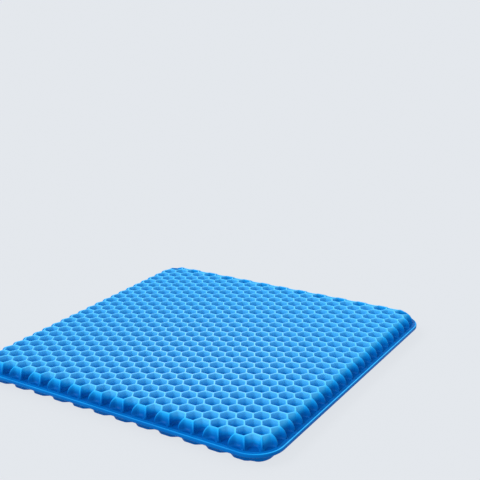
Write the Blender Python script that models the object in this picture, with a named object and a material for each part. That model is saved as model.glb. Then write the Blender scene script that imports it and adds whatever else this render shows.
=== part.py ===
"""Honeycomb gel seat pad, as plain soft solids: two layers of cells back to back on a centre web, and a rim flange.

Run with: blender --background --python part.py
The pad lies flat with its lower face on z = 0. X runs across the cell columns and Y along them.
The cells themselves are left to the visual model; these solids carry the sizes, the layers and the edge profile.
"""

import math

import bmesh
import bpy

# Honeycomb lattice, metres: the hexagons point along X and their flat walls face Y.
CELL_PITCH = 0.016
COLUMNS = 25
ROWS = 22
COLUMN_SPACING = CELL_PITCH * math.sqrt(3) / 2
CELL_RADIUS = CELL_PITCH / math.sqrt(3)

# Heights, metres: the upper cells are deeper than the lower ones, and the rim is as thick as the web.
PAD_THICKNESS = 0.0260
UPPER_DEPTH = 0.0116
WEB_THICKNESS = 0.0040
WEB_TOP = PAD_THICKNESS - UPPER_DEPTH
WEB_BOTTOM = WEB_TOP - WEB_THICKNESS
GAP = 0.0003

# Outline of the seat faces, how far the edge fins reach beyond it, and the rim flange beyond their feet, metres.
FACE_HALF_X = (COLUMNS - 1) / 2 * COLUMN_SPACING + CELL_RADIUS
FACE_HALF_Y = (ROWS + 0.5) / 2 * CELL_PITCH
FIN_REACH_X = 0.0077
FIN_REACH_Y = 0.0068
FOOT_CORNER_RADIUS = 0.0262
RIM_REACH = 0.0050
RIM_INNER_REACH = 0.0024
RIM_ROUNDING = 0.0012

CORNER_STEPS = 10
PROFILE_STEPS = 7
ROUNDING_STEPS = 3
EDGE_POWER = 2.2

GEL_ROUGHNESS = 0.3
GEL_COLOURS = {
    "upper_honeycomb": (0.035, 0.34, 0.87, 1.0),
    "centre_web": (0.01, 0.2, 0.62, 1.0),
    "rim_flange": (0.005, 0.16, 0.52, 1.0),
    "lower_honeycomb": (0.02, 0.26, 0.76, 1.0),
}


def clear_scene():
    for thing in list(bpy.data.objects):
        bpy.data.objects.remove(thing, do_unlink=True)


def gel_material(name):
    material = bpy.data.materials.new(name + "_gel")
    material.use_nodes = True
    shader = material.node_tree.nodes["Principled BSDF"]
    shader.inputs["Base Color"].default_value = GEL_COLOURS[name]
    shader.inputs["Roughness"].default_value = GEL_ROUGHNESS
    shader.inputs["Metallic"].default_value = 0.0
    return material


def rounded_outline(reach_x, reach_y, corner_radius):
    """Points of a rounded rectangle, anticlockwise, that reaches this far beyond the seat face on each axis."""
    half_x = FACE_HALF_X + reach_x
    half_y = FACE_HALF_Y + reach_y
    points = []
    for quarter in range(4):
        sign_x = 1 if quarter in (0, 3) else -1
        sign_y = 1 if quarter in (0, 1) else -1
        centre_x = sign_x * (half_x - corner_radius)
        centre_y = sign_y * (half_y - corner_radius)
        for step in range(CORNER_STEPS + 1):
            angle = math.pi / 2 * (quarter + step / CORNER_STEPS)
            x = centre_x + corner_radius * math.cos(angle)
            y = centre_y + corner_radius * math.sin(angle)
            points.append((x, y))
    return points


def edge_outline(share, extra=0.0):
    """The outline where the edge has come this share of the way from the seat face to the foot of the fins."""
    inset = (1 - share) * FIN_REACH_X
    reach_x = share * FIN_REACH_X + extra
    reach_y = share * FIN_REACH_Y + extra
    return rounded_outline(reach_x, reach_y, FOOT_CORNER_RADIUS - inset + extra)


def add_object(name, mesh_builder):
    mesh = bpy.data.meshes.new(name)
    shape = bmesh.new()
    mesh_builder(shape)
    bmesh.ops.recalc_face_normals(shape, faces=shape.faces)
    shape.to_mesh(mesh)
    shape.free()
    mesh.materials.append(gel_material(name))
    mesh.shade_smooth()
    mesh.set_sharp_from_angle(angle=math.radians(35))
    thing = bpy.data.objects.new(name, mesh)
    bpy.context.collection.objects.link(thing)
    return thing


def add_ring(shape, outline, z):
    return [shape.verts.new((x, y, z)) for x, y in outline]


def bridge(shape, lower, upper):
    count = len(lower)
    for i in range(count):
        j = (i + 1) % count
        shape.faces.new((lower[i], lower[j], upper[j], upper[i]))


def lofted_layer(levels):
    """A closed solid through outlines at rising heights."""

    def build(shape):
        rings = [add_ring(shape, outline, z) for outline, z in levels]
        for lower, upper in zip(rings, rings[1:]):
            bridge(shape, lower, upper)
        shape.faces.new(list(reversed(rings[0])))
        shape.faces.new(rings[-1])

    return build


def swept_ring(section):
    """A closed ring through outlines that go once round its cross-section."""

    def build(shape):
        rings = [add_ring(shape, outline, z) for outline, z in section]
        for first, second in zip(rings, rings[1:] + rings[:1]):
            bridge(shape, first, second)

    return build


def profile_share(height_share):
    """How far the convex edge still reaches at this share of the way from the rim to the face."""
    return (1 - height_share**EDGE_POWER) ** (1 / EDGE_POWER)


def cell_layer(name, foot, face):
    """A layer from its foot on the web, where it is widest, to its seat face."""
    levels = []
    for step in range(PROFILE_STEPS + 1):
        height_share = math.sin(math.pi / 2 * step / PROFILE_STEPS)
        z = foot + height_share * (face - foot)
        levels.append((edge_outline(profile_share(height_share)), z))
    return add_object(name, lofted_layer(levels))


def centre_web():
    outline = edge_outline(1.0, -RIM_INNER_REACH - GAP)
    return add_object("centre_web", lofted_layer([(outline, WEB_BOTTOM), (outline, WEB_TOP)]))


def rim_flange():
    inner = edge_outline(1.0, -RIM_INNER_REACH)
    section = [(inner, WEB_TOP), (inner, WEB_BOTTOM)]
    for middle, first_angle in ((WEB_BOTTOM + RIM_ROUNDING, -math.pi / 2), (WEB_TOP - RIM_ROUNDING, 0.0)):
        for step in range(ROUNDING_STEPS + 1):
            angle = first_angle + math.pi / 2 * step / ROUNDING_STEPS
            outline = edge_outline(1.0, RIM_REACH - RIM_ROUNDING + RIM_ROUNDING * math.cos(angle))
            section.append((outline, middle + RIM_ROUNDING * math.sin(angle)))
    return add_object("rim_flange", swept_ring(section))


def main():
    clear_scene()
    cell_layer("lower_honeycomb", WEB_BOTTOM - GAP, 0.0)
    centre_web()
    rim_flange()
    cell_layer("upper_honeycomb", WEB_TOP + GAP, PAD_THICKNESS)


main()
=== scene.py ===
"""The honeycomb gel seat pad's looks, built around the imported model.

The gel is one moulding in four pieces here. The upper cells are a lattice of walls whose edge fins run down
to the rim. The lower cells are the same lattice the other way up, without fins and inside a skirt. Between
them lie the web and the flange at its rim.
"""

import math

import bpy
from mathutils import Matrix, Vector


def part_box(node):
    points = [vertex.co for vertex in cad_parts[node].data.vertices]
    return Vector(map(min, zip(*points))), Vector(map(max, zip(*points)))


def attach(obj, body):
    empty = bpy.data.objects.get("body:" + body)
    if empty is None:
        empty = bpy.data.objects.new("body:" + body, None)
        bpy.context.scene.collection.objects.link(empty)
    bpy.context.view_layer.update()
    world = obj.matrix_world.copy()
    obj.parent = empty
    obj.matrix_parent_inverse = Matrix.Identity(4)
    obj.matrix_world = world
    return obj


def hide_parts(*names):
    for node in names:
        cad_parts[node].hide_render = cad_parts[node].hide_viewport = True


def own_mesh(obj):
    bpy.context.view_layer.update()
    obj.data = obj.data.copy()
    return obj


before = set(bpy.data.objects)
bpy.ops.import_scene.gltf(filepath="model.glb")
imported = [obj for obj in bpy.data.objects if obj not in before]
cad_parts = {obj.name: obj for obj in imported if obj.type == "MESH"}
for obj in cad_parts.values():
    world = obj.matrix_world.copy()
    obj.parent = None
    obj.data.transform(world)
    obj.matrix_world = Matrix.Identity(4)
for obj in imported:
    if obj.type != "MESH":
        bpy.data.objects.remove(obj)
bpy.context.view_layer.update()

MM = 0.001

# ---------------------------------------------------------------- camera

CAMERA_PLACE = (0.53277, -0.79320, 0.43118)
CAMERA_HEADING = 34.02
CAMERA_PITCH = 17.05
CAMERA_ROLL = -1.42
CAMERA_LENS = 67.0
CAMERA_SENSOR = 36.0
CAMERA_SHIFT = 0.075


def set_camera():
    data = bpy.data.cameras.new("camera")
    data.lens = CAMERA_LENS
    data.sensor_width = CAMERA_SENSOR
    data.shift_x = CAMERA_SHIFT
    camera = bpy.data.objects.new("camera", data)
    bpy.context.collection.objects.link(camera)
    camera.location = CAMERA_PLACE
    heading = Matrix.Rotation(math.radians(CAMERA_HEADING), 3, "Z")
    pitch = Matrix.Rotation(math.radians(90 - CAMERA_PITCH), 3, "X")
    roll = Matrix.Rotation(math.radians(CAMERA_ROLL), 3, "Z")
    camera.rotation_euler = (heading @ pitch @ roll).to_euler()
    bpy.context.scene.camera = camera


set_camera()

# ---------------------------------------------------------------- sizes

# Heights and outlines come from the frame's solids. The corner's radius and the lattice are those that the
# solids were built with.
TOP_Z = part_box("upper_honeycomb")[1].z
WEB_BOTTOM_Z, WEB_TOP_Z = (corner.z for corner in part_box("centre_web"))
BOTTOM_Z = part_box("lower_honeycomb")[0].z
FOOT_HALF_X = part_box("upper_honeycomb")[1].x
FOOT_HALF_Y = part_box("upper_honeycomb")[1].y
FOOT_CORNER_RADIUS = 26.2 * MM
RIM_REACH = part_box("rim_flange")[1].x - FOOT_HALF_X

CELL_PITCH = 16.0 * MM
CELL_RADIUS = CELL_PITCH / math.sqrt(3)
COLUMN_SPACING = CELL_PITCH * math.sqrt(3) / 2
COLUMNS = 25
ROWS = 22
FACE_HALF_X = (COLUMNS - 1) / 2 * COLUMN_SPACING + CELL_RADIUS
FACE_HALF_Y = (ROWS + 0.5) / 2 * CELL_PITCH

# A wall's section from the ridge down one side, as the offset from its midline, the radius of the cell's
# corners and the share of the layer's height.
WALL_SECTION = (
    (0.00 * MM, 0.0 * MM, 1.000),
    (0.38 * MM, 0.8 * MM, 0.993),
    (0.68 * MM, 1.4 * MM, 0.965),
    (0.82 * MM, 1.8 * MM, 0.900),
    (0.96 * MM, 2.0 * MM, 0.500),
    (1.30 * MM, 2.5 * MM, 0.180),
    (2.10 * MM, 3.2 * MM, 0.050),
    (3.60 * MM, 4.0 * MM, -0.010),
)
WALL_HALF_WIDTH = 0.96 * MM

# How deep the walls' roots go into the web, as a share of the height.
SINK_SHARE = -0.03

# How far from a corner its rounding begins.
CORNER_REACH = 1.0 * MM

# The walls come down to the rim in a quarter of a superellipse, and keep a little height at the foot.
EDGE_WIDTH = 11.8 * MM
EDGE_POWER = 2.3
LEAST_HEIGHT = 0.02
FIN_STEPS = 8

# Facets that meet more steeply than this, in degrees, keep a sharp edge.
SHARP_ANGLE = 42

# ---------------------------------------------------------------- outlines

BISECTIONS = 30


def outline_distance(half_x, half_y, radius, x, y):
    """How far inside a rounded rectangle a point is."""
    over_x = abs(x) - (half_x - radius)
    over_y = abs(y) - (half_y - radius)
    outside = math.hypot(max(over_x, 0.0), max(over_y, 0.0))
    return radius - outside - min(max(over_x, over_y), 0.0)


def foot_distance(x, y):
    return outline_distance(FOOT_HALF_X, FOOT_HALF_Y, FOOT_CORNER_RADIUS, x, y)


def ray_to_edge(distance, start, direction):
    """How far along a ray the distance inside an outline falls to nothing."""
    near, far = 0.0, FOOT_HALF_Y
    for _ in range(BISECTIONS):
        middle = (near + far) / 2
        if distance(start.x + direction.x * middle, start.y + direction.y * middle) > 0:
            near = middle
        else:
            far = middle
    return near


def rounded_rectangle(half_x, half_y, radius, side_points, corner_points):
    """Points and outward normals round a rounded rectangle, anticlockwise from the end of the +X side."""
    places = []
    signs = ((1, 1), (-1, 1), (-1, -1), (1, -1))
    for quarter, (sign_x, sign_y) in enumerate(signs):
        centre = Vector((sign_x * (half_x - radius), sign_y * (half_y - radius)))
        for step in range(corner_points + 1):
            angle = math.pi / 2 * (quarter + step / corner_points)
            normal = Vector((math.cos(angle), math.sin(angle)))
            places.append((centre + normal * radius, normal))
        next_sign = signs[(quarter + 1) % 4]
        next_centre = Vector((next_sign[0] * (half_x - radius), next_sign[1] * (half_y - radius)))
        for step in range(1, side_points):
            places.append((centre.lerp(next_centre, step / side_points) + normal * radius, normal.copy()))
    return places


def edge_height(x, y):
    """The share of its layer's height that a wall reaches: all of it on the face, next to none at the rim."""
    share = min(max(foot_distance(x, y) / EDGE_WIDTH, 0.0), 1.0)
    return max((1 - (1 - share) ** EDGE_POWER) ** (1 / EDGE_POWER), LEAST_HEIGHT)


# ---------------------------------------------------------------- the lattice

# A hexagon's corners as steps on an integer grid of half a radius by half a pitch.
CORNER_STEPS = ((2, 0), (1, 1), (-1, 1), (-2, 0), (-1, -1), (1, -1))


def corner_place(key):
    x = (key[0] - 1.5 * (COLUMNS - 1)) * CELL_RADIUS / 2
    y = (key[1] - (ROWS - 0.5)) * CELL_PITCH / 2
    return Vector((x, y))


def lattice_cells():
    """Each cell's six corners, anticlockwise."""
    return [
        [(3 * column + dx, 2 * row + (column + 1) % 2 + dy) for dx, dy in CORNER_STEPS]
        for column in range(COLUMNS)
        for row in range(ROWS)
    ]


def boundary_loop(cells):
    """The corners round the outside of the lattice, anticlockwise."""
    edges = {(a, b) for cell in cells for a, b in zip(cell, cell[1:] + cell[:1])}
    following = {a: b for a, b in edges if (b, a) not in edges}
    loop = [min(following)]
    while following[loop[-1]] != loop[0]:
        loop.append(following[loop[-1]])
    return loop


class Fin:
    """A wall that stands out from a corner of the lattice to the rim."""

    def __init__(self, before, corner, after):
        here = corner_place(corner)
        towards = (corner_place(before) - here).normalized() + (corner_place(after) - here).normalized()
        self.corner = corner
        self.along = -towards.normalized()
        self.reach = ray_to_edge(foot_distance, here, self.along)


def edge_fins(cells, loop):
    """A fin at each boundary corner that only two walls reach, with the corner's place in the loop."""
    reached_by = {}
    for cell in cells:
        for a, b in zip(cell, cell[1:] + cell[:1]):
            reached_by.setdefault(a, set()).add(b)
            reached_by.setdefault(b, set()).add(a)
    fins = []
    for i, corner in enumerate(loop):
        if len(reached_by[corner]) == 2:
            fins.append((i, Fin(loop[i - 1], corner, loop[(i + 1) % len(loop)])))
    return fins


# ---------------------------------------------------------------- stations along the walls


class Station:
    """A place on a wall's midline, and how the wall's section is laid out to one side of it."""

    def __init__(self, key, base, slide, lean=Vector((0, 0))):
        self.key = key
        self.base = base
        self.slide = slide
        self.lean = lean

    def at(self, offset, radius):
        return self.base + self.slide * offset + self.lean * radius


# Where two walls meet at 120 degrees, an offset line's corner moves along the wall, or out along the
# bisector.
ALONG_PER_OFFSET = 1 / math.sqrt(3)
OUT_PER_OFFSET = 2 / math.sqrt(3)

# How far the corner's rounding moves the stations beside it, as a share of its radius.
ROUNDING_SIDE = 0.25


def left_of(direction):
    return Vector((-direction.y, direction.x))


def corner_stations(key, here, arrive, leave, arrive_key, leave_key):
    """Stations before, on and after a corner, laid out to the left."""
    bisector = (left_of(arrive) + left_of(leave)).normalized()
    turn = 1 if arrive.cross(leave) > 0 else -1
    return [
        Station(
            (key, arrive_key),
            here - arrive * CORNER_REACH,
            left_of(arrive) - arrive * (ALONG_PER_OFFSET * turn),
            -arrive * (ROUNDING_SIDE * turn),
        ),
        Station((key,), here, bisector * OUT_PER_OFFSET, bisector * ((OUT_PER_OFFSET - 1) * turn)),
        Station(
            (key, leave_key),
            here + leave * CORNER_REACH,
            left_of(leave) + leave * (ALONG_PER_OFFSET * turn),
            leave * (ROUNDING_SIDE * turn),
        ),
    ]


def path_stations(path, first_direction, first_key, last_direction, last_key):
    """Stations over a run of corners that is entered and left in the directions given."""
    stations = []
    for i, key in enumerate(path):
        here = corner_place(key)
        arrive, arrive_key = first_direction, first_key
        if i > 0:
            arrive, arrive_key = (here - corner_place(path[i - 1])).normalized(), path[i - 1]
        leave, leave_key = last_direction, last_key
        if i < len(path) - 1:
            leave, leave_key = (corner_place(path[i + 1]) - here).normalized(), path[i + 1]
        stations += corner_stations(key, here, arrive, leave, arrive_key, leave_key)
    return stations


def loop_stations(loop):
    closing = (corner_place(loop[0]) - corner_place(loop[-1])).normalized()
    return path_stations(loop, closing, loop[-1], closing, loop[0])


def fin_stations(fin, side):
    """Stations from near the corner to the foot, closer together where the ridge turns down."""
    here = corner_place(fin.corner)
    start = here + fin.along * CORNER_REACH
    from_foot = min(foot_distance(start.x, start.y) / EDGE_WIDTH, 1.0)
    first_angle = math.asin((1 - from_foot) ** (EDGE_POWER / 2))
    stations = []
    for step in range(1, FIN_STEPS + 1):
        angle = first_angle + (math.pi / 2 - first_angle) * step / FIN_STEPS
        left = (1 - math.sin(angle) ** (2 / EDGE_POWER)) / from_foot
        base = start + fin.along * ((fin.reach - CORNER_REACH) * (1 - left))
        stations.append(Station((fin.corner, "fin", step), base, side))
    return stations


def bay_stations(first, path, second):
    """Stations round an open bay, in along one fin, past the boundary's walls and out along the next fin."""
    inward = fin_stations(first, left_of(-first.along))[::-1]
    past = path_stations(path, -first.along, "fin", second.along, "fin")
    return inward + past + fin_stations(second, left_of(second.along))


# ---------------------------------------------------------------- surfaces


class Surface:
    """A mesh in the making, with each vertex's painted light level, which adds painted shade in the depths to
    the gel's own deeper colour there, and how strongly a painted highlight lies on it near a wall's ridge.
    """

    def __init__(self):
        self.points = []
        self.levels = []
        self.crest_highlights = []
        self.faces = []
        self.shared = {}

    def add(self, x, y, z, level, ridge=0.0, key=None):
        if key is not None:
            if key in self.shared:
                return self.shared[key]
            self.shared[key] = len(self.points)
        self.points.append((x, y, z))
        self.levels.append(level)
        self.crest_highlights.append(ridge)
        return len(self.points) - 1

    def face(self, *corners):
        kept = [corner for i, corner in enumerate(corners) if corner != corners[i - 1]]
        if len(kept) > 2:
            self.faces.append(kept)

    def strip(self, first, second):
        """Quads between two columns of vertices."""
        for a, b, c, d in zip(first, first[1:], second, second[1:]):
            self.face(a, c, d, b)

    def to_object(self, name):
        mesh = bpy.data.meshes.new(name)
        mesh.from_pydata(self.points, [], self.faces)
        mesh.attributes.new("gel_light_level", "FLOAT", "POINT").data.foreach_set("value", self.levels)
        mesh.attributes.new("gel_crest_highlight", "FLOAT", "POINT").data.foreach_set("value", self.crest_highlights)
        mesh.shade_smooth()
        mesh.set_sharp_from_angle(angle=math.radians(SHARP_ANGLE))
        piece = bpy.data.objects.new(name, mesh)
        bpy.context.collection.objects.link(piece)
        return piece


# ---------------------------------------------------------------- painted light and shade on the gel

# The share of a wall's height above which it counts as its crest, where the painted highlight lies.
RIDGE_SHARE = 0.965

# How far inside the fins' feet a crest's painted highlight starts, where it has reached this share of its
# strength, and where it has all of it.
HIGHLIGHT_START = 4.5 * MM
HIGHLIGHT_SHARE_FROM = 16.0 * MM
HIGHLIGHT_SHARE = 0.6
HIGHLIGHT_FULL_FROM = 60.0 * MM

# Where on the pad a painted pool of light lies, with the crests' painted highlight strongest there, and how
# much of that highlight they lose far away from it.
LIT_PLACE = Vector((40.0 * MM, -50.0 * MM))
LIT_PLACE_NEAR = 60.0 * MM
LIT_PLACE_FAR = 250.0 * MM
HIGHLIGHT_LOSS = 0.8

# Far from that place the painted shade in the depths shows less, as the level that it tends to and how
# strongly.
EVEN_LEVEL = 0.42
EVEN_SHARE = 0.33

# How far inside the fins' feet the fins begin, and how much painted shade darkens a fin towards its foot.
FIN_ROOT = 8.3 * MM
FIN_SHADE = 0.65
FIN_SHADE_POWER = 0.22


def ramp_up(value, low, high):
    return min(max((value - low) / (high - low), 0.0), 1.0)


def lit_place_farness(place):
    return ramp_up((place - LIT_PLACE).length, LIT_PLACE_NEAR, LIT_PLACE_FAR)


def crest_highlight_strength(place, inset):
    near_edge = HIGHLIGHT_SHARE * ramp_up(inset, HIGHLIGHT_START, HIGHLIGHT_SHARE_FROM)
    inner = (1 - HIGHLIGHT_SHARE) * ramp_up(inset, HIGHLIGHT_SHARE_FROM, HIGHLIGHT_FULL_FROM)
    return (near_edge + inner) * (1 - HIGHLIGHT_LOSS * lit_place_farness(place))


def fin_light(inset):
    """How much of its painted light a wall keeps: all of it in the lattice, less along a fin, where painted
    shade darkens it towards its foot.
    """
    return 1 - FIN_SHADE * (1 - ramp_up(inset, 0.0, FIN_ROOT)) ** FIN_SHADE_POWER


# ---------------------------------------------------------------- the walls


def wall_column(surface, station, floor_z, height):
    """The section's vertices at one station, from the ridge down its side to the midline at the root."""
    reach = edge_height(station.base.x, station.base.y)
    inset = foot_distance(station.base.x, station.base.y)
    highlight_strength = crest_highlight_strength(station.base, inset)
    light = fin_light(inset)
    evenness = EVEN_SHARE * lit_place_farness(station.base)
    column = []
    for ring, (offset, radius, share) in enumerate(WALL_SECTION):
        spread = max(offset - WALL_HALF_WIDTH, 0.0)
        place = station.at(offset - spread * (1 - math.sqrt(reach)), radius)
        rise = share * reach if share > 0 else share
        # A painted highlight along the crest, strongest near the painted pool of light.
        ridge = highlight_strength * max(share - RIDGE_SHARE, 0.0) / (1 - RIDGE_SHARE)
        key = ("ridge", station.key) if ring == 0 else None
        # The painted light level: painted shade lower down the wall and along the fins, on top of the gel's
        # own deeper colour in the depths.
        level = max(rise, 0.0) * light
        level += (EVEN_LEVEL - level) * evenness
        column.append(surface.add(place.x, place.y, floor_z + height * rise, level, ridge, key))
    root = station.base
    column.append(surface.add(root.x, root.y, floor_z + height * SINK_SHARE, 0.0, 0.0, ("root", station.key)))
    return column


def wall_side(surface, stations, closed, floor_z, height):
    """One side of a run of walls, as the columns that it joins."""
    columns = [wall_column(surface, station, floor_z, height) for station in stations]
    if height < 0:
        columns = [column[::-1] for column in columns]
    following = columns[1:] + columns[:1] if closed else columns[1:]
    for first, second in zip(columns, following):
        surface.strip(first, second)
    return columns


def bay_walls(surface, loop, fins, floor_z, height):
    """The sides of the bays between the fins, and the ends of the fins."""
    ends = {}
    for n, (place, fin) in enumerate(fins):
        next_place, next_fin = fins[(n + 1) % len(fins)]
        count = (next_place - place) % len(loop) + 1
        path = [loop[(place + i) % len(loop)] for i in range(count)][::-1]
        columns = wall_side(surface, bay_stations(next_fin, path, fin), False, floor_z, height)
        ends.setdefault(next_fin.corner, {})["in"] = columns[0]
        ends.setdefault(fin.corner, {})["out"] = columns[-1]
    for sides in ends.values():
        surface.face(*sides["in"], *sides["out"][-2:0:-1])


def wall_lattice(floor_z, height, with_fins):
    """The walls of every cell, and round them either the bays between the fins or a plain outer side."""
    surface = Surface()
    cells = lattice_cells()
    for cell in cells:
        wall_side(surface, loop_stations(cell), True, floor_z, height)
    loop = boundary_loop(cells)
    if with_fins:
        bay_walls(surface, loop, edge_fins(cells, loop), floor_z, height)
    else:
        wall_side(surface, loop_stations(loop[::-1]), True, floor_z, height)
    return surface


# The walls that close the bays on the +Y side, lower than the cells beside them and a little higher at their
# ends.
BACK_WALL_SHARE = 0.86
BACK_WALL_END_RISE = 0.05
BACK_WALL_STEPS = 8
BACK_WALL_RINGS = 5


def back_walls(surface, floor_z, height):
    sides = [(offset, share) for offset, _, share in WALL_SECTION[BACK_WALL_RINGS:0:-1]]
    profile = sides + [(0.0, 1.0)] + [(-offset, share) for offset, share in reversed(sides)]
    profile += [(-sides[0][0], SINK_SHARE), (sides[0][0], SINK_SHARE)]
    for column in range(1, COLUMNS, 2):
        middle = (column - (COLUMNS - 1) / 2) * COLUMN_SPACING
        rings = []
        for step in range(BACK_WALL_STEPS + 1):
            along = 2 * step / BACK_WALL_STEPS - 1
            top = BACK_WALL_SHARE + BACK_WALL_END_RISE * along * along
            ring = []
            for offset, share in profile:
                # Painted shade lower down the wall, as on the cells' walls.
                level = max(share, 0.0) * top
                point = (middle + along * CELL_RADIUS, FACE_HALF_Y + offset, floor_z + height * share * top)
                ring.append(surface.add(*point, level, 0.0))
            rings.append(ring + ring[:1])
        for first, second in zip(rings, rings[1:]):
            surface.strip(second, first)
        surface.face(*rings[0][-2::-1])
        surface.face(*rings[-1][:-1])


# ---------------------------------------------------------------- the skirt, the flange and the web


def sweep(surface, places, section_at):
    """Adds a ring round an outline, with one closed section of (outward reach, z, level) at each place."""
    columns = []
    for place, normal in places:
        column = []
        for reach, z, level in section_at(place, normal):
            point = place + normal * reach
            column.append(surface.add(point.x, point.y, z, level))
        columns.append(column + column[:1])
    for first, second in zip(columns, columns[1:] + columns[:1]):
        surface.strip(first, second)


# The lower layer's outer skirt: its section in millimetres, as the distance from its midline and the height
# above the lower face, and the notches where a column of cells stops short.
SKIRT_SECTION = (
    (-1.50, 10.7),
    (-1.20, 6.0),
    (-1.10, 1.2),
    (-0.80, 0.35),
    (0.00, 0.0),
    (0.80, 0.35),
    (1.10, 1.2),
    (1.20, 6.0),
    (1.50, 10.7),
)
# The skirt's painted light level: low, painted shade under the flange.
SKIRT_SHADE_LEVEL = 0.1
SKIRT_NEAR_RADIUS = 18.0 * MM
SKIRT_FAR_RADIUS = 5.0 * MM
SKIRT_SIDE_POINTS = 168
SKIRT_CORNER_POINTS = 10
NOTCH_HALF_WIDTH = 9.0 * MM
NOTCH_DEPTH = 4.5 * MM
NOTCH_CORNER_FADE = 8


def notch_depth(place, normal):
    """How far the skirt steps in here: at every second column, and the others on the opposite side."""
    column = place.x / COLUMN_SPACING + (0 if normal.y < 0 else 1)
    from_centre = abs(column - 2 * round(column / 2)) * COLUMN_SPACING
    share = max(1 - from_centre / NOTCH_HALF_WIDTH, 0.0)
    return NOTCH_DEPTH * share * share * (3 - 2 * share) * abs(normal.y) ** NOTCH_CORNER_FADE


def skirt_outline(radius):
    return rounded_rectangle(FACE_HALF_X, FACE_HALF_Y, radius, SKIRT_SIDE_POINTS, SKIRT_CORNER_POINTS)


def lower_skirt(surface):
    pairs = zip(skirt_outline(SKIRT_NEAR_RADIUS), skirt_outline(SKIRT_FAR_RADIUS))
    outline = [near if near[0].y < 0 else far for near, far in pairs]
    places = [(place - normal * notch_depth(place, normal), normal) for place, normal in outline]
    section = [(reach * MM, BOTTOM_Z + rise * MM, SKIRT_SHADE_LEVEL) for reach, rise in SKIRT_SECTION]
    sweep(surface, places, lambda place, normal: section)


# The rim flange's section in millimetres, as the distance in from its rim and the height above its own top,
# with its painted light level on the short sides and on the long ones: a painted highlight along the raised
# lip and painted shade under the flange.
FLANGE_SECTION = (
    (7.40, -0.35, 0.00, 0.00),
    (6.00, -0.35, 0.00, 0.00),
    (5.00, 0.00, 0.04, 0.02),
    (3.80, -0.25, 0.08, 0.02),
    (2.60, -0.35, 0.10, 0.02),
    (1.80, -0.15, 0.15, 0.10),
    (1.25, 0.10, 0.25, 0.45),
    (0.85, 0.15, 0.30, 0.60),
    (0.45, -0.02, 0.25, 0.45),
    (0.15, -0.40, 0.15, 0.15),
    (0.00, -1.00, 0.12, 0.08),
    (0.00, -2.00, 0.10, 0.05),
    (0.00, -3.00, 0.08, 0.03),
    (0.10, -3.50, 0.05, 0.02),
    (0.40, -3.85, 0.02, 0.00),
    (0.90, -4.00, 0.00, 0.00),
    (5.00, -4.00, 0.00, 0.00),
    (6.00, -3.65, 0.00, 0.00),
    (7.40, -3.65, 0.00, 0.00),
)
FLANGE_SIDE_POINTS = 132
FLANGE_CORNER_POINTS = 20


def flange_section(place, normal):
    across = normal.x**2
    evenness = EVEN_SHARE * lit_place_farness(place)
    section = []
    for inset, rise, level_y, level_x in reversed(FLANGE_SECTION):
        # Painted highlight on the lip, stronger on the short sides, and painted shade below it.
        level = level_y + (level_x - level_y) * across
        level += (EVEN_LEVEL - level) * evenness
        section.append((RIM_REACH - inset * MM, WEB_TOP_Z + rise * MM, level))
    return section


def rim_flange(surface):
    places = rounded_rectangle(
        FOOT_HALF_X, FOOT_HALF_Y, FOOT_CORNER_RADIUS, FLANGE_SIDE_POINTS, FLANGE_CORNER_POINTS
    )
    sweep(surface, places, flange_section)


# How far the web's edge lies inside the fins' feet, over the flange's inner slope.
WEB_INSET = 0.6 * MM
WEB_CORNER_POINTS = 12


def web_plate(surface):
    half_x, half_y, radius = (size - WEB_INSET for size in (FOOT_HALF_X, FOOT_HALF_Y, FOOT_CORNER_RADIUS))
    places = rounded_rectangle(half_x, half_y, radius, 1, WEB_CORNER_POINTS)
    # The web gets the lowest painted light level: painted shade on the bay floors, on top of the gel's own
    # deeper colour.
    low = [surface.add(place.x, place.y, WEB_BOTTOM_Z, 0.0) for place, _ in places]
    high = [surface.add(place.x, place.y, WEB_TOP_Z, 0.0) for place, _ in places]
    surface.strip(high + high[:1], low + low[:1])
    surface.face(*high)
    surface.face(*low[::-1])


# ---------------------------------------------------------------- material

# The gel's colour by its painted light level, from the bottom of a cell, darkest there with painted shade on
# top of the gel's own deeper colour, to a wall's ridge.
GEL_COLOURS = (
    (0.0, (0.0, 0.066, 0.29, 1.0)),
    (0.2, (0.0, 0.125, 0.44, 1.0)),
    (0.4, (0.008, 0.31, 0.73, 1.0)),
    (0.6, (0.055, 0.44, 0.84, 1.0)),
    (0.85, (0.075, 0.455, 0.84, 1.0)),
    (1.0, (0.090, 0.465, 0.85, 1.0)),
)
# The painted highlight on the crests: its colour, and the power of the level that keeps it to the highest of
# them.
CREST_HIGHLIGHT_COLOUR = (0.20, 0.55, 0.92, 1.0)
CREST_HIGHLIGHT_POWER = 5.0
CLOUD_SCALE = 45.0
CLOUD_DETAIL = 2.0
CLOUD_SPREAD = 0.16
ROUGHNESS_LOW = 0.3
ROUGHNESS_HIGH = 0.46
SKIN_SCALE = 420.0
SKIN_DETAIL = 3.0
BUMP_STRENGTH = 0.25
BUMP_DISTANCE = 0.15 * MM
GEL_IOR = 1.45
GEL_SPECULAR = 0.04


def colour_ramp(nodes, stops):
    ramp = nodes.new("ShaderNodeValToRGB")
    elements = ramp.color_ramp.elements
    elements[0].position, elements[0].color = stops[0]
    elements[1].position, elements[1].color = stops[-1]
    for position, colour in stops[1:-1]:
        elements.new(position).color = colour
    return ramp


def attribute(nodes, name):
    node = nodes.new("ShaderNodeAttribute")
    node.attribute_name = name
    return node.outputs["Fac"]


def math_node(nodes, operation, second=None):
    node = nodes.new("ShaderNodeMath")
    node.operation = operation
    if second is not None:
        node.inputs[1].default_value = second
    return node


def noise_node(nodes, links, coordinates, scale, detail):
    noise = nodes.new("ShaderNodeTexNoise")
    noise.inputs["Scale"].default_value = scale
    noise.inputs["Detail"].default_value = detail
    links.new(coordinates, noise.inputs["Vector"])
    return noise.outputs["Fac"]


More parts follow.
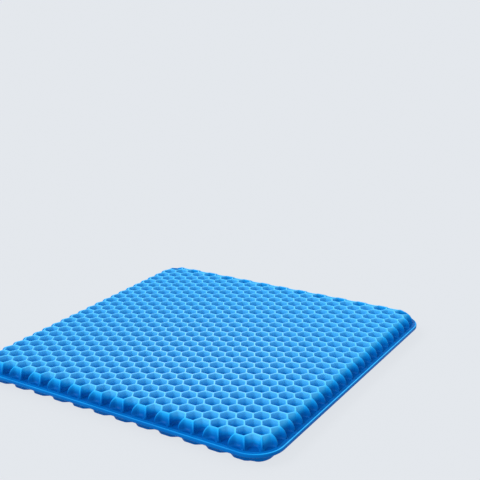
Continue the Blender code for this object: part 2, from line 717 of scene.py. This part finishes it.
def clouded_ramp(nodes, links, clouds):
    """The gel's colour by its painted light level, which the clouds shift a little up and down."""
    spread = math_node(nodes, "MULTIPLY_ADD", CLOUD_SPREAD)
    lowered = math_node(nodes, "ADD", -CLOUD_SPREAD / 2)
    ramp = colour_ramp(nodes, GEL_COLOURS)
    links.new(clouds, spread.inputs[0])
    links.new(attribute(nodes, "gel_light_level"), lowered.inputs[0])
    links.new(lowered.outputs[0], spread.inputs[2])
    links.new(spread.outputs[0], ramp.inputs["Fac"])
    return ramp.outputs["Color"]


def crest_highlight_colour(nodes, links, colour):
    """The colour with a painted highlight mixed in on the high crests."""
    high = math_node(nodes, "POWER", CREST_HIGHLIGHT_POWER)
    strength = math_node(nodes, "MULTIPLY")
    crest = nodes.new("ShaderNodeMix")
    crest.data_type = "RGBA"
    crest.inputs["B"].default_value = CREST_HIGHLIGHT_COLOUR
    links.new(attribute(nodes, "gel_light_level"), high.inputs[0])
    links.new(attribute(nodes, "gel_crest_highlight"), strength.inputs[0])
    links.new(high.outputs[0], strength.inputs[1])
    links.new(strength.outputs[0], crest.inputs["Factor"])
    links.new(colour, crest.inputs["A"])
    return crest.outputs["Result"]


def gel_material():
    material = bpy.data.materials.new("blue_gel")
    material.use_nodes = True
    nodes = material.node_tree.nodes
    links = material.node_tree.links
    shader = nodes["Principled BSDF"]
    coordinates = nodes.new("ShaderNodeTexCoord").outputs["Object"]
    clouds = noise_node(nodes, links, coordinates, CLOUD_SCALE, CLOUD_DETAIL)
    skin = noise_node(nodes, links, coordinates, SKIN_SCALE, SKIN_DETAIL)
    polish = nodes.new("ShaderNodeMapRange")
    polish.inputs["To Min"].default_value = ROUGHNESS_LOW
    polish.inputs["To Max"].default_value = ROUGHNESS_HIGH
    bump = nodes.new("ShaderNodeBump")
    bump.inputs["Strength"].default_value = BUMP_STRENGTH
    bump.inputs["Distance"].default_value = BUMP_DISTANCE
    links.new(clouds, polish.inputs["Value"])
    links.new(skin, bump.inputs["Height"])
    links.new(crest_highlight_colour(nodes, links, clouded_ramp(nodes, links, clouds)), shader.inputs["Base Color"])
    links.new(polish.outputs["Result"], shader.inputs["Roughness"])
    links.new(bump.outputs["Normal"], shader.inputs["Normal"])
    shader.inputs["IOR"].default_value = GEL_IOR
    shader.inputs["Specular IOR Level"].default_value = GEL_SPECULAR
    return material


# ---------------------------------------------------------------- pieces

upper_surface = wall_lattice(WEB_TOP_Z, TOP_Z - WEB_TOP_Z, True)
back_walls(upper_surface, WEB_TOP_Z, TOP_Z - WEB_TOP_Z)
upper = upper_surface.to_object("upper_cells")

lower_surface = wall_lattice(WEB_BOTTOM_Z, BOTTOM_Z - WEB_BOTTOM_Z, False)
lower_skirt(lower_surface)
lower = lower_surface.to_object("lower_cells")

rim_surface = Surface()
rim_flange(rim_surface)
rim = rim_surface.to_object("rim_strip")

web_surface = Surface()
web_plate(web_surface)
web = web_surface.to_object("web_plate")

gel = gel_material()
for piece in (upper, lower, rim, web):
    piece.data.materials.append(gel)

for piece, body, node, slot in (
    (upper, "upper_layer", "upper_honeycomb", "upper_gel"),
    (lower, "lower_layer", "lower_honeycomb", "lower_gel"),
    (rim, "core", "rim_flange", "rim_gel"),
    (web, "core", "centre_web", "web_gel"),
):
    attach(piece, body)
    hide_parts(node)

for piece, joint, anchor_z, height in (
    (upper, "upper_cells_squash", TOP_Z, TOP_Z - WEB_TOP_Z),
    (lower, "lower_cells_squash", BOTTOM_Z, WEB_BOTTOM_Z - BOTTOM_Z),
):
    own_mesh(piece)

# ---------------------------------------------------------------- stage

FLOOR_HALF = 40.0
FLOOR_COLOUR = (0.040, 0.041, 0.043, 1)
FLOOR_ROUGHNESS = 0.9
FLOOR_GLOW_COLOUR = (0.776, 0.807, 0.847, 1)
FLOOR_GLOW = 0.922
STUDIO_COLOUR = (1.0, 1.0, 1.0, 1)
STUDIO_STRENGTH = 1.05
KEY_STRENGTH = 1.9
KEY_SOFTNESS = 30
KEY_DIRECTION = Vector((0.45, 0.55, -0.75))


def set_floor():
    """A floor that mostly glows, so that the pad's shadow on it stays faint."""
    signs = ((-1, -1), (1, -1), (1, 1), (-1, 1))
    mesh = bpy.data.meshes.new("floor")
    mesh.from_pydata([(x * FLOOR_HALF, y * FLOOR_HALF, 0) for x, y in signs], [], [(0, 1, 2, 3)])
    floor = bpy.data.objects.new("floor", mesh)
    bpy.context.collection.objects.link(floor)
    material = bpy.data.materials.new("pale_floor")
    material.use_nodes = True
    shader = material.node_tree.nodes["Principled BSDF"]
    shader.inputs["Base Color"].default_value = FLOOR_COLOUR
    shader.inputs["Roughness"].default_value = FLOOR_ROUGHNESS
    shader.inputs["Specular IOR Level"].default_value = 0.0
    shader.inputs["Emission Color"].default_value = FLOOR_GLOW_COLOUR
    shader.inputs["Emission Strength"].default_value = FLOOR_GLOW
    mesh.materials.append(material)


def set_lights():
    world = bpy.data.worlds.new("studio")
    world.use_nodes = True
    background = world.node_tree.nodes["Background"]
    background.inputs["Color"].default_value = STUDIO_COLOUR
    background.inputs["Strength"].default_value = STUDIO_STRENGTH
    bpy.context.scene.world = world
    sun = bpy.data.lights.new("key", "SUN")
    sun.energy = KEY_STRENGTH
    sun.angle = math.radians(KEY_SOFTNESS)
    key = bpy.data.objects.new("key", sun)
    bpy.context.collection.objects.link(key)
    key.rotation_euler = KEY_DIRECTION.to_track_quat("-Z", "Y").to_euler()


set_floor()
set_lights()
bpy.context.scene.view_settings.view_transform = "Standard"
